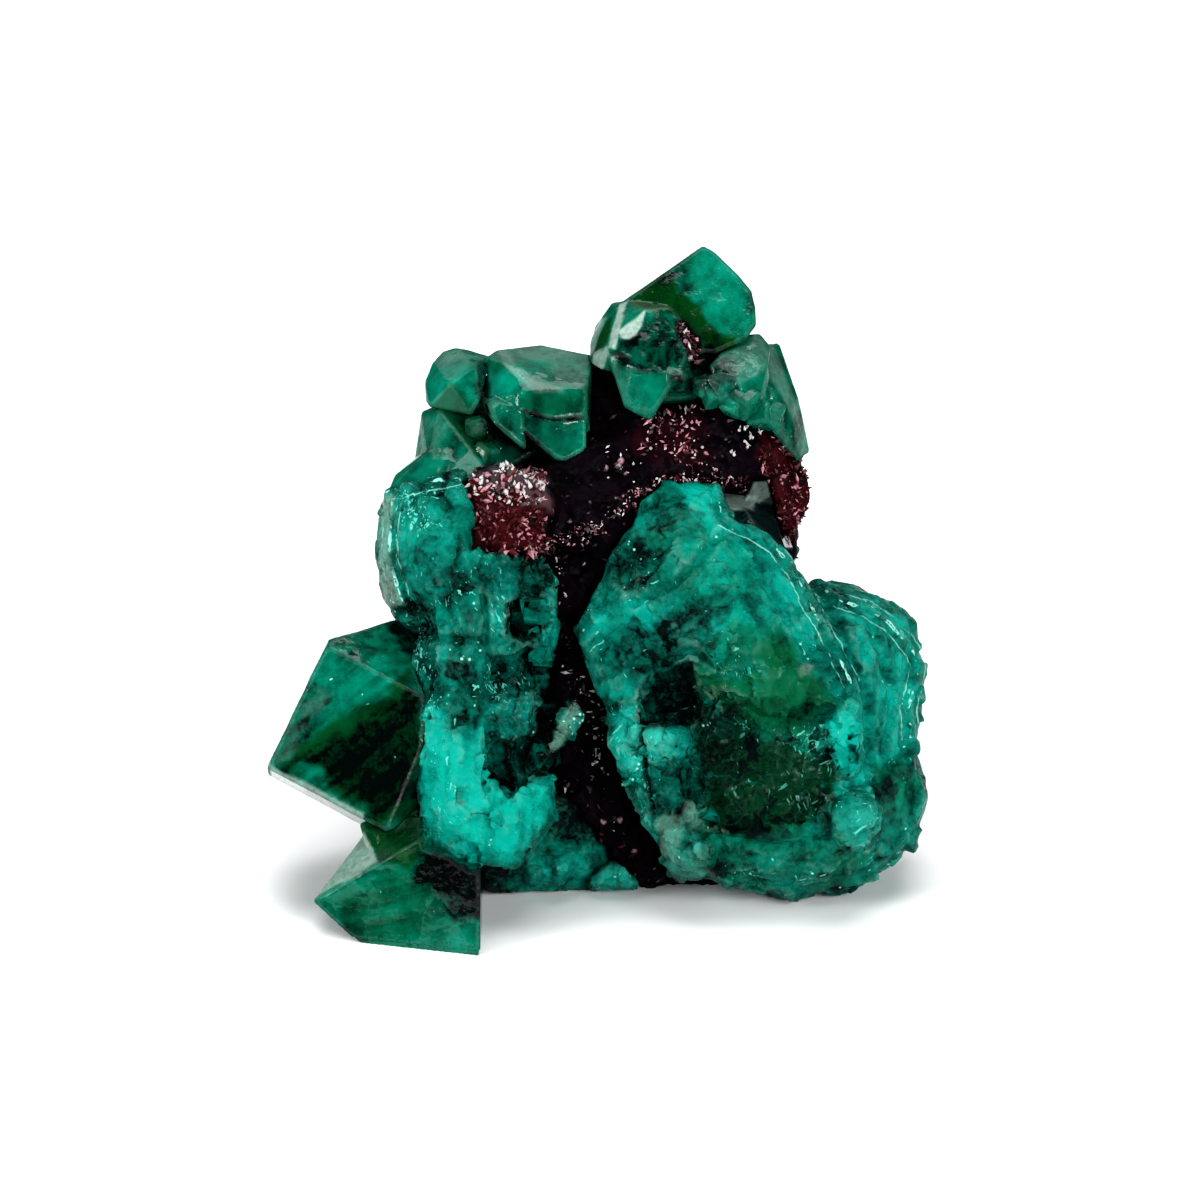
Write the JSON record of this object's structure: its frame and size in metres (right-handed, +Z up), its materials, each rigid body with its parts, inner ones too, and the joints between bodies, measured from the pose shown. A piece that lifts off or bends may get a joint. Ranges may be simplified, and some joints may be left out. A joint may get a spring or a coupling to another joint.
{
  "type": "dioptase crystal specimen",
  "caption": "Dioptase specimen: stubby green prisms with three-faced tips and a broken crystal mass, grown together on a dark red-brown matrix.",
  "frame": {"origin": "middle of the bounding box, on the surface the specimen rests on", "axes": "+X to the right along the longest extent, -Y towards the viewer of the picture, +Z up"},
  "size_m": [0.033, 0.0266, 0.0301],
  "materials": {
    "clear_dioptase": "glassy crystal faces",
    "broken_dioptase": "broken, finely granular and glassy",
    "dark_dioptase": "glassy crystal faces",
    "matrix_rock": "rough, with fine sparkling crystals"
  },
  "bodies": {
    "root": {"crown_crystals": "clear_dioptase", "shoulder_crystals": "clear_dioptase", "column_crystals": "broken_dioptase", "left_crystal": "clear_dioptase", "foot_crystal": "clear_dioptase", "mass_crystals": "broken_dioptase", "dark_crystal": "dark_dioptase", "base_crystals": "broken_dioptase", "back_upper_crystals": "clear_dioptase", "back_right_crystals": "clear_dioptase", "back_lower_crystals": "clear_dioptase", "matrix": "matrix_rock"}
  },
  "joints": []
}
